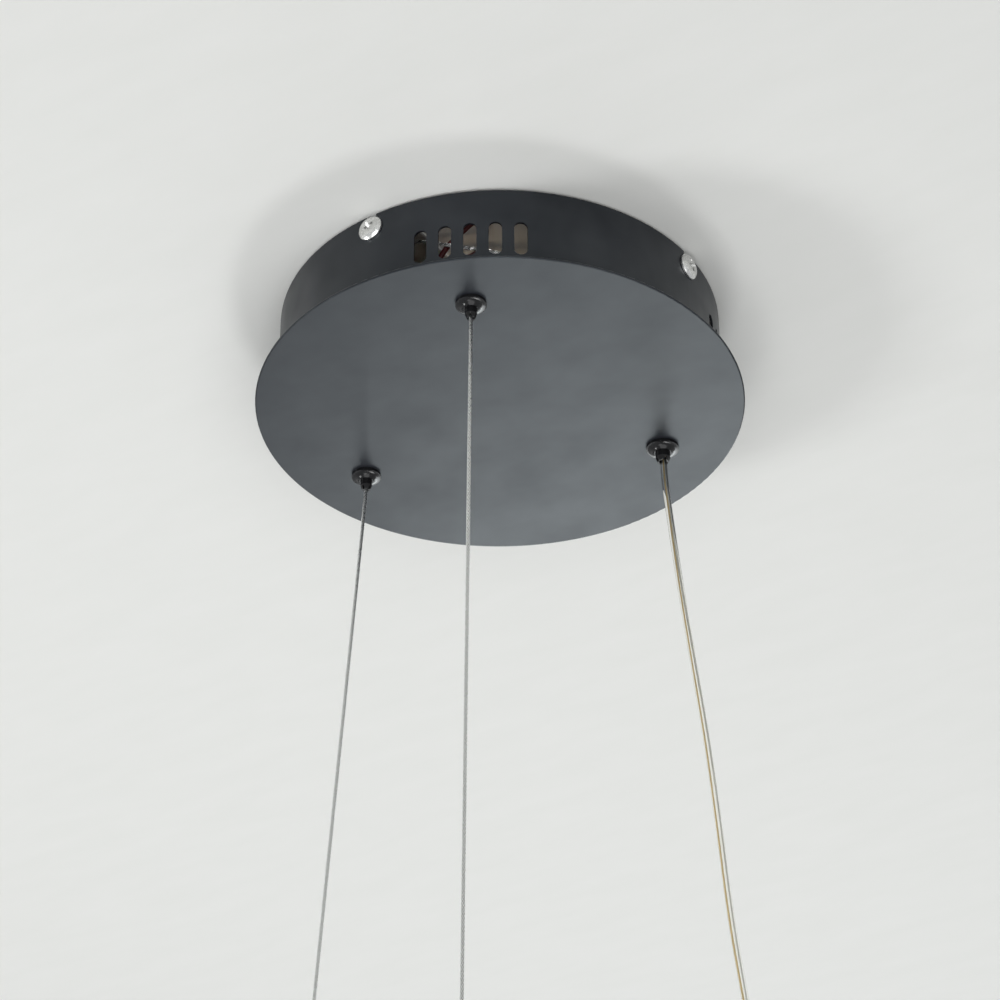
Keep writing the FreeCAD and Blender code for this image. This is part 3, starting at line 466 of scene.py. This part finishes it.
def gloss_black():
    return surface("gloss_black", (0.006, 0.006, 0.007), (0.010, 0.010, 0.011), 400, (0.14, 0.22), 6000,
                   0.004 * MM, IOR=1.36)


def zinc_steel():
    """Zinc plating with a faint spangle."""
    mat, tree, shader = new_material("zinc_steel", Metallic=1.0)
    if tree:
        place = node(tree, "TexCoord").outputs["Object"]
        cells = node(tree, "TexVoronoi", {"Vector": place}, Scale=260).outputs["Color"]
        grey = node(tree, "RGBToBW", {"Color": cells}).outputs[0]
        coloured(tree, shader, grey, (0.50, 0.51, 0.53), (0.66, 0.67, 0.68))
        tree.links.new(ranged(tree, grey, 0.28, 0.42), shader.inputs["Roughness"])
        bumped(tree, shader, noise(tree, 2500), 0.01 * MM, 0.3)
    return mat


def screw_steel():
    """Bright plated screw with turning marks and small pits."""
    return surface("screw_steel", (0.62, 0.62, 0.61), (0.82, 0.82, 0.81), 700, (0.20, 0.36), 2600, 0.02 * MM,
                   Metallic=1.0)


def wire_rope():
    """Bare steel strand with painted shade: its colour turns near black towards the grooves between the
    strands, where shade falls, and the wires that it is laid from make a fine relief.
    """
    mat, tree, shader = new_material("wire_rope", Metallic=1.0)
    if tree:
        ridge = twisted(tree, 420.0, 6.0)
        crown = node(tree, "Attribute", attribute_name="outward").outputs["Fac"]
        painted_groove_shade = node(tree, "Math", {0: ridge, 2: crown}, operation="MULTIPLY_ADD")
        painted_groove_shade.inputs[1].default_value = 0.03
        # painted shade: points that sit low between the strands get a near-black colour, and the crowns a
        # bright one
        coloured(tree, shader, painted_groove_shade.outputs[0], (0.04, 0.04, 0.042), (0.97, 0.98, 0.97), 0.80, 0.93)
        tree.links.new(ranged(tree, noise(tree, 900), 0.22, 0.36), shader.inputs["Roughness"])
        bumped(tree, shader, ridge, 0.03 * MM, 0.5)
    return mat


def spring_steel():
    return surface("spring_steel", (0.66, 0.66, 0.67), (0.80, 0.80, 0.81), 900, (0.10, 0.22), 5000,
                   0.004 * MM, Metallic=1.0)


def nickel():
    """Turned and plated metal, with fine rings across its length."""
    return surface("nickel", (0.58, 0.57, 0.54), (0.74, 0.73, 0.70), 300, (0.16, 0.30), 1500, 0.02 * MM,
                   (0.2, 0.2, 4), Metallic=1.0)


def brass():
    return surface("brass", (0.55, 0.40, 0.16), (0.76, 0.58, 0.27), 350, (0.22, 0.38), 1800, 0.02 * MM,
                   (0.3, 0.3, 3), Metallic=1.0)


def soft_aluminium():
    return surface("soft_aluminium", (0.62, 0.62, 0.63), (0.80, 0.80, 0.81), 500, (0.30, 0.46), 2200,
                   0.03 * MM, Metallic=1.0)


def clear_pvc():
    """Clear sheath, faintly yellow, with a slightly uneven skin."""
    mat, tree, shader = new_material("clear_pvc", IOR=1.42, Transmission_Weight=1.0)
    if tree:
        cloud = noise(tree, 120)
        coloured(tree, shader, cloud, (0.93, 0.92, 0.86), (0.98, 0.98, 0.95))
        tree.links.new(ranged(tree, cloud, 0.0, 0.03), shader.inputs["Roughness"])
        bumped(tree, shader, noise(tree, 400), 0.01 * MM, 0.2)
    return mat


def stranded_core(name, dark, light):
    """Bunched fine wires of one conductor, twisted along it, with painted shade that darkens the colour in
    the grooves between the wires.
    """
    mat, tree, shader = new_material(name, Metallic=1.0, Roughness=0.32)
    if tree:
        ridge = twisted(tree, 160.0, 10.0)
        # painted shade: the colour is darkest in the troughs between the wires and lightest on their crests
        coloured(tree, shader, ranged(tree, ridge, 0.0, 1.0, -1.0, 1.0), dark, light)
        bumped(tree, shader, ridge, 0.04 * MM, 0.5)
    return mat


def copper_core():
    return stranded_core("copper_core", (0.58, 0.42, 0.19), (0.88, 0.72, 0.44))


def tinned_core():
    return stranded_core("tinned_core", (0.50, 0.51, 0.50), (0.78, 0.79, 0.77))


def black_plastic():
    return surface("black_plastic", (0.016, 0.016, 0.017), (0.026, 0.026, 0.028), 250, (0.38, 0.55), 3000,
                   0.03 * MM)


def tip_plastic():
    return surface("tip_plastic", (0.62, 0.44, 0.05), (0.74, 0.54, 0.08), 400, (0.35, 0.5), 3000, 0.02 * MM)


def nylon():
    return surface("nylon", (0.66, 0.66, 0.60), (0.78, 0.78, 0.72), 160, (0.32, 0.46), 1400, 0.03 * MM,
                   Subsurface_Weight=0.25, Subsurface_Scale=0.002)


def white_plastic():
    return surface("white_plastic", (0.66, 0.66, 0.64), (0.74, 0.74, 0.72), 90, (0.36, 0.5), 2600, 0.04 * MM)


def board_green():
    """Circuit board with lighter tracks under its lacquer."""
    mat, tree, shader = new_material("board_green", Roughness=0.3)
    if tree:
        place = node(tree, "TexCoord").outputs["Object"]
        edges = node(tree, "TexVoronoi", {"Vector": place}, Scale=320, feature="DISTANCE_TO_EDGE")
        tracks = edges.outputs["Distance"]
        coloured(tree, shader, tracks, (0.10, 0.34, 0.12), (0.02, 0.12, 0.05), 0.04, 0.07)
        bumped(tree, shader, tracks, 0.05 * MM, 0.4)
    return mat


def winding_tape():
    """Turns of tape round the transformer, one over the next."""
    mat, tree, shader = new_material("winding_tape", Roughness=0.35)
    if tree:
        place = node(tree, "TexCoord").outputs["Object"]
        wave = node(tree, "TexWave", {"Vector": place}, Scale=90, Distortion=0.6, bands_direction="Z")
        turns = wave.outputs["Fac"]
        coloured(tree, shader, turns, (0.42, 0.30, 0.03), (0.66, 0.50, 0.08))
        bumped(tree, shader, turns, 0.1 * MM, 0.5)
    return mat


def red_pvc():
    return surface("red_pvc", (0.065, 0.005, 0.006), (0.10, 0.009, 0.009), 200, (0.34, 0.48), 2200, 0.03 * MM)


def black_pvc():
    return surface("black_pvc", (0.014, 0.014, 0.014), (0.026, 0.026, 0.026), 200, (0.34, 0.48), 2200,
                   0.03 * MM)


def earth_pvc():
    """Green insulation with a yellow stripe on each side."""
    mat, tree, shader = new_material("earth_pvc")
    if tree:
        uv = node(tree, "TexCoord").outputs["UV"]
        side = node(tree, "SeparateXYZ", {"Vector": uv}).outputs["Y"]
        stripe = node(tree, "Math", {0: side}, operation="PINGPONG")
        stripe.inputs[1].default_value = 0.25
        coloured(tree, shader, stripe.outputs[0], (0.05, 0.28, 0.03), (0.72, 0.62, 0.03), 0.12, 0.13)
        tree.links.new(ranged(tree, noise(tree, 500), 0.34, 0.48), shader.inputs["Roughness"])
        bumped(tree, shader, noise(tree, 2200), 0.03 * MM, 0.3)
    return mat


def plaster():
    """Painted ceiling with faint brush marks. Seen from above it isn't there."""
    mat, tree, shader = new_material("plaster", Roughness=0.85)
    strokes = noise(tree, 22, 6.0, (1, 3, 1))
    coloured(tree, shader, strokes, (0.790, 0.800, 0.778), (0.806, 0.814, 0.795))
    bumped(tree, shader, noise(tree, 70, 6.0, (1, 3, 1)), 0.6 * MM, 0.08)
    back = node(tree, "NewGeometry").outputs["Backfacing"]
    eye = node(tree, "LightPath").outputs["Is Camera Ray"]
    hidden = node(tree, "Math", {0: back, 1: eye}, operation="MULTIPLY").outputs[0]
    clear = node(tree, "BsdfTransparent").outputs[0]
    mix = node(tree, "MixShader", {0: hidden, 1: shader.outputs[0], 2: clear}).outputs[0]
    tree.links.new(mix, tree.nodes["Material Output"].inputs["Surface"])
    return mat


FINISHES = {
    "satin_black": satin_black, "gloss_black": gloss_black, "zinc_steel": zinc_steel,
    "screw_steel": screw_steel, "rope_steel": wire_rope, "spring_steel": spring_steel,
    "nickel": nickel, "brass": brass, "soft_aluminium": soft_aluminium, "clear_pvc": clear_pvc,
    "black_plastic": black_plastic, "tip_plastic": tip_plastic, "nylon": nylon,
    "white_plastic": white_plastic, "board_green": board_green, "winding_tape": winding_tape,
    "red_pvc": red_pvc, "black_pvc": black_pvc, "earth_pvc": earth_pvc,
}


def dress_nodes():
    """Every solid of the frame takes the finish of its material slot."""
    for part in frame["record"]["subparts"]:
        mesh = NODES[part["node"]].data
        mesh.materials.clear()
        mesh.materials.append(FINISHES[part["material_slot"]]())


# Pieces


def make_ropes():
    """Two suspension ropes, from their grippers down to their end fittings."""
    for name, lean in (("front", FRONT_LEAN), ("left", LEFT_LEAN)):
        path = spline_points(rope_route(name, lean))
        rope = rope_piece(name + "_rope_strands", path)
        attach(rope, "canopy")
        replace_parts(rope, name + "_rope")


def make_cord():
    """Clear cord, from its gripper down to its plug."""
    path = spline_points(cord_route())
    sheath, cores = sheathed_pieces("cord_sheath", "cord_core_", path, CORE_PHASE)
    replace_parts(sheath, "power_cord")


def make_tails():
    """Spare ends inside the can: two of rope and the one of cord that goes to the joint block."""
    for name, route, length in (("front", front_tail_route(), FRONT_TAIL_LENGTH),
                                ("left", left_tail_route(), LEFT_TAIL_LENGTH)):
        path = spline_points(route)
        tail = rope_piece(name + "_tail_strands", path)
        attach(tail, "canopy")
        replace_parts(tail, name + "_rope_tail")
    path = spline_points(cord_tail_route())
    tail, cores = sheathed_pieces("cord_tail_sheath", "cord_tail_core_", path, 0.0)
    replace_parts(tail, "power_cord_tail")


def make_wires():
    """Mains wires that run between the bracket and the canopy, the earth wire and the driver's leads."""
    for name, route, material, slot, held, freed in (
            ("live_wire", live_route(), red_pvc(), "red_pvc",
             row(0, 0, CLAMP_Z), row(0, 0, NEUTRAL_ENTRY[1])),
            ("neutral_wire", neutral_route(), black_pvc(), "black_pvc",
             front(NEUTRAL_HELD_X, 0, 0), front(DRIVER_END, 0, 0))):
        wire = plain_piece(name + "_line", spline_points(route), WIRE_D, material)
        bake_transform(wire)
        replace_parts(wire, name)
    earth = plain_piece("earth_wire_line", spline_points(earth_route()), WIRE_D, earth_pvc())
    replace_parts(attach(earth, "bracket"), "earth_wire")
    for name, material, slot in (("positive_lead", red_pvc(), "red_pvc"),
                                 ("negative_lead", black_pvc(), "black_pvc")):
        lead = plain_piece(name + "_line", spline_points(lead_route(name)), LEAD_D, material)
        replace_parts(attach(lead, "canopy"), name)


def make_springs():
    """Springs between each release plunger and its gripper's cap."""
    for name in ("front", "left", "cord"):
        low, high = (Vector(corner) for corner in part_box(name + "_spring"))
        centre = middle(name + "_spring")
        mean_r = (high.x - low.x - SPRING_WIRE) / 2
        bottom, top = low.z + SPRING_WIRE / 2, high.z - SPRING_WIRE / 2
        path = []
        for k in range(SPRING_TURNS * SPRING_STEPS + 1):
            a = 2 * math.pi * k / SPRING_STEPS
            height = bottom + (top - bottom) * k / (SPRING_TURNS * SPRING_STEPS)
            path.append(Vector((centre.x + mean_r * math.sin(a), centre.y - mean_r * math.cos(a), height)))
        part = tube_part(line_frames(path), SPRING_WIRE / 2, SPRING_SIDES)
        coil = line_mesh(name + "_spring_coil", [part], spring_steel())
        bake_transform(coil)
        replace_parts(coil, name + "_spring")


# Stage, light and camera

CEILING_HALF = 8.0
CEILING_GAP = 0.3 * MM
WORLD_LIGHT, WORLD_MIRRORED, WORLD_SEEN = 0.20, 0.60, 0.95

# Name, kind, place, power and settings. The first five light the room, and the others what the vents show.
LAMPS = [
    ("window", "AREA", front(-1950, -300, -1185), 15.8, {"size": 0.55}),
    ("room", "AREA", front(160, 700, -1500), 4.3, {"size": 0.35}),
    ("fill", "SUN", front(250, -1000, -1100), 1.55, {"angle": math.radians(60)}),
    ("below", "AREA", front(-170, -264, -1042), 0.8, {"size": 0.3}),
    ("far_wall", "AREA", front(235, 1898, -585), 28.5, {"size": 1.4, "color": (0.94, 0.99, 1.0)}),
    ("inside", "SPOT", row(0, 0, 1200), 30,
     {"spot_size": math.radians(7.6), "spot_blend": 0.2, "shadow_soft_size": 0.004}),
    ("slots", "SPOT", front(-20, -964, -265), 26,
     {"spot_size": math.radians(2.05), "spot_blend": 0.3, "shadow_soft_size": 0.03}),
    ("vents", "AREA", front(2, -58, -36.5), 0.0020,
     {"shape": "RECTANGLE", "size": 0.03, "size_y": 0.005, "color": (1.0, 0.76, 0.50)}),
]
GLOSS_ONLY = {"far_wall"}

# Camera in the canopy's own axes
CAMERA_PLACE = front(163.02, -1044.40, -813.60)
CAMERA_FORWARD = front(-127.19, 813.87, 566.95)
CAMERA_UP = front(91.95, -559.46, 823.74)
FOCAL_PIXELS = 3200.0
PHOTO_PIXELS = 1000.0
SENSOR_WIDTH = 36.0
VIEW_DEPTH = 30.0


def make_ceiling():
    half = CEILING_HALF
    corners = [(-half, -half, 0), (-half, half, 0), (half, half, 0), (half, -half, 0)]
    mesh = bpy.data.meshes.new("ceiling")
    mesh.from_pydata(corners, [], [(0, 1, 2, 3)])
    mesh.materials.append(plaster())
    ceiling = link(bpy.data.objects.new("ceiling", mesh))
    ceiling.location.z = CEILING_GAP
    ceiling.visible_shadow = False


def make_world():
    """Pale surroundings. The camera sees them at full strength, and less of them lights the part."""
    world = bpy.data.worlds.new("surroundings")
    bpy.context.scene.world = world
    world.use_nodes = True
    tree = world.node_tree
    light = tree.nodes["Background"]
    light.inputs["Color"].default_value = (1.0, 1.0, 0.99, 1)
    light.inputs["Strength"].default_value = WORLD_LIGHT
    mirrored = node(tree, "Background", Strength=WORLD_MIRRORED)
    mirrored.inputs["Color"].default_value = (0.97, 0.99, 1.0, 1)
    seen = node(tree, "Background", Strength=WORLD_SEEN)
    seen.inputs["Color"].default_value = (0.955, 0.965, 0.97, 1)
    path = node(tree, "LightPath")
    both = node(tree, "Math", {0: path.outputs["Is Camera Ray"], 1: path.outputs["Is Transmission Ray"]},
                operation="MAXIMUM")
    gloss = path.outputs["Is Glossy Ray"]
    lit = node(tree, "MixShader", {0: gloss, 1: light.outputs[0], 2: mirrored.outputs[0]})
    mix = node(tree, "MixShader", {0: both.outputs[0], 1: lit.outputs[0], 2: seen.outputs[0]})
    tree.links.new(mix.outputs[0], tree.nodes["World Output"].inputs["Surface"])


def make_lamps():
    """Lamps, each turned towards the part."""
    for name, kind, place, power, settings in LAMPS:
        data = bpy.data.lights.new(name, kind)
        data.energy = power
        for key, value in settings.items():
            setattr(data, key, value)
        lamp = link(bpy.data.objects.new(name, data))
        lamp.location = place
        lamp.rotation_mode = "QUATERNION"
        lamp.rotation_quaternion = (-place).to_track_quat("-Z", "Y")
        lamp.visible_camera = False
        lamp.visible_diffuse = name not in GLOSS_ONLY


def make_camera():
    data = bpy.data.cameras.new("camera")
    data.sensor_width = SENSOR_WIDTH
    data.lens = SENSOR_WIDTH * FOCAL_PIXELS / PHOTO_PIXELS
    data.clip_end = VIEW_DEPTH
    camera = link(bpy.data.objects.new("camera", data))
    ahead = CAMERA_FORWARD.normalized()
    right = ahead.cross(CAMERA_UP).normalized()
    up = right.cross(ahead)
    turn = Matrix((right, up, -ahead)).transposed().to_4x4()
    camera.matrix_world = Matrix.Translation(CAMERA_PLACE) @ turn
    bpy.context.scene.camera = camera


bpy.context.scene.view_settings.view_transform = "Standard"
dress_nodes()
make_ropes()
make_cord()
make_tails()
make_wires()
make_springs()
make_ceiling()
make_world()
make_lamps()
make_camera()
